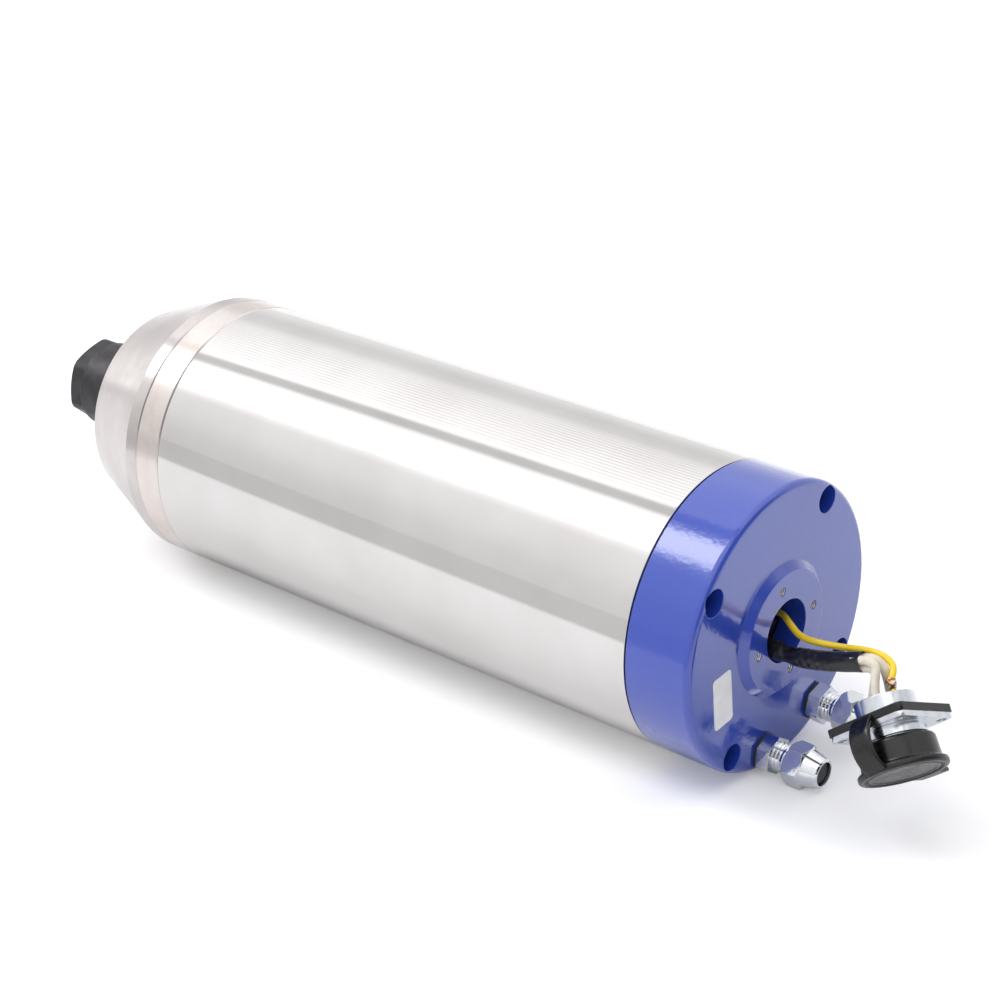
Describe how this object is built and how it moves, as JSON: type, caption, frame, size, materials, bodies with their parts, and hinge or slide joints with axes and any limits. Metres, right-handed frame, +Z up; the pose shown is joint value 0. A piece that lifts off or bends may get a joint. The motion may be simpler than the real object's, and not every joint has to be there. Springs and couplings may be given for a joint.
{
  "type": "motor spindle",
  "caption": "Cylindrical water-cooled motor spindle with a collet nose, a blue rear cover, two hose fittings and a capped power socket on short leads.",
  "frame": {"origin": "on the spindle axis, halfway along the ground steel barrel", "axes": "+X along the spindle axis towards the rear cover, so the tool points to -X; +Z up as the spindle lies on a table, water fittings below; +Y completes the right-handed frame"},
  "size_m": [0.3205, 0.08, 0.08],
  "materials": {
    "polished_barrel_steel": "ground and polished stainless tube",
    "turned_ring_steel": "finely turned steel",
    "nose_aluminium": "satin turned aluminium",
    "blue_enamel": "glossy blue enamel on cast aluminium",
    "black_oxide_steel": "black oxide",
    "ground_steel": "ground bearing and shaft steel",
    "bright_chrome": "bright chrome plate on brass",
    "zinc_plate": "bright zinc plate",
    "black_rubber": "moulded black rubber",
    "grey_rubber": "grey plug rubber",
    "nitrile_gasket": "cut sheet gasket",
    "electrical_steel": "punched and stacked laminations",
    "enamelled_copper": "varnished copper winding",
    "cast_rotor_aluminium": "die cast cage",
    "cage_polymer": "phenolic ball cage",
    "insulator_polymer": "moulded insulator",
    "gilt_brass": "gilt brass contact",
    "heat_shrink": "shrunk black sleeve",
    "glass_sleeve": "cream silicone and glass sleeve",
    "yellow_insulation": "yellow wire insulation",
    "solder": "tin solder",
    "tin_plate": "tinned copper terminal",
    "label_film": "blank white label"
  },
  "bodies": {
    "motor_housing": {"outer_barrel": "polished_barrel_steel", "front_water_gasket": "nitrile_gasket", "rear_water_gasket": "nitrile_gasket", "front_bearing_housing": "turned_ring_steel", "nose_cap": "nose_aluminium", "front_ring_screws": "black_oxide_steel", "nose_screws": "black_oxide_steel", "cover_screws": "black_oxide_steel", "stator_core": "electrical_steel", "stator_winding": "enamelled_copper", "front_outer_races": "ground_steel", "rear_outer_races": "ground_steel", "front_outer_spacer": "ground_steel", "rear_bearing_housing": "turned_ring_steel", "preload_disc_spring": "ground_steel", "rear_cover": "blue_enamel", "blank_label": "label_film", "earth_terminal": "tin_plate", "earth_screw": "zinc_plate", "inlet_fitting_body": "bright_chrome", "inlet_sealing_washer": "nitrile_gasket", "outlet_fitting_body": "bright_chrome", "outlet_sealing_washer": "nitrile_gasket", "socket_shell": "zinc_plate", "flange_gasket": "black_rubber", "socket_insulator": "insulator_polymer", "socket_pins": "gilt_brass", "earth_solder_joint": "solder", "cap_strap": "black_rubber", "lead_sleeve": "heat_shrink", "winding_lead_sleeve": "glass_sleeve", "phase_lead_u": "glass_sleeve", "phase_lead_v": "glass_sleeve", "phase_lead_w": "glass_sleeve", "earth_wire": "yellow_insulation"},
    "rotor": {"shaft": "ground_steel", "nose_slinger": "black_oxide_steel", "rotor_core": "electrical_steel", "rotor_cage": "cast_rotor_aluminium", "front_inner_races": "ground_steel", "front_inner_spacer": "ground_steel", "rear_inner_races": "ground_steel", "front_lock_nut": "black_oxide_steel", "rear_lock_nut": "black_oxide_steel"},
    "front_ball_set": {"front_balls": "ground_steel", "front_ball_cages": "cage_polymer"},
    "rear_ball_set": {"rear_balls": "ground_steel", "rear_ball_cages": "cage_polymer"},
    "collet_body": {"collet": "ground_steel"},
    "collet_nut_body": {"collet_nut": "black_oxide_steel"},
    "inlet_insert": {"inlet_ferrule": "gilt_brass", "inlet_shipping_plug": "grey_rubber"},
    "inlet_nut": {"inlet_compression_nut": "bright_chrome"},
    "outlet_insert": {"outlet_ferrule": "gilt_brass", "outlet_shipping_plug": "grey_rubber"},
    "outlet_nut": {"outlet_compression_nut": "bright_chrome"},
    "dust_cap_body": {"dust_cap": "black_rubber"}
  },
  "joints": [
    {"name": "spindle_spin", "type": "hinge", "parent": "motor_housing", "child": "rotor", "pos_m": [0, 0, 0], "axis": [1, 0, 0], "continuous": true},
    {"name": "front_ball_orbit", "type": "hinge", "parent": "motor_housing", "child": "front_ball_set", "pos_m": [-0.0794, 0, 0], "axis": [1, 0, 0], "continuous": true},
    {"name": "rear_ball_orbit", "type": "hinge", "parent": "motor_housing", "child": "rear_ball_set", "pos_m": [0.074, 0, 0], "axis": [1, 0, 0], "continuous": true},
    {"name": "collet_release", "type": "slide", "parent": "rotor", "child": "collet_body", "axis": [-1, 0, 0], "range_m": [0, 0.003]},
    {"name": "collet_nut_turn", "type": "hinge", "parent": "collet_body", "child": "collet_nut_body", "pos_m": [-0.149, 0, 0], "axis": [-1, 0, 0], "range_deg": [0, 720]},
    {"name": "inlet_nut_travel", "type": "slide", "parent": "motor_housing", "child": "inlet_insert", "axis": [1, 0, 0], "range_m": [0, 0.004]},
    {"name": "inlet_nut_turn", "type": "hinge", "parent": "inlet_insert", "child": "inlet_nut", "pos_m": [0.118, -0.00441, -0.03442], "axis": [1, 0, 0], "range_deg": [0, 1440]},
    {"name": "outlet_nut_travel", "type": "slide", "parent": "motor_housing", "child": "outlet_insert", "axis": [1, 0, 0], "range_m": [0, 0.004]},
    {"name": "outlet_nut_turn", "type": "hinge", "parent": "outlet_insert", "child": "outlet_nut", "pos_m": [0.118, 0.01854, -0.02933], "axis": [1, 0, 0], "range_deg": [0, 1440]},
    {"name": "dust_cap_pull", "type": "slide", "parent": "motor_housing", "child": "dust_cap_body", "axis": [0.6074, -0.3854, -0.6947], "range_m": [0, 0.007], "deforming": ["cap_strap"]}
  ],
  "couplings": [
    {"joint": "front_ball_orbit", "follows": "spindle_spin", "ratio": 0.41481},
    {"joint": "rear_ball_orbit", "follows": "spindle_spin", "ratio": 0.40217},
    {"joint": "collet_release", "follows": "collet_nut_turn", "m_per_rad": 0.00023873},
    {"joint": "inlet_nut_travel", "follows": "inlet_nut_turn", "m_per_rad": 0.00015915},
    {"joint": "outlet_nut_travel", "follows": "outlet_nut_turn", "m_per_rad": 0.00015915}
  ]
}
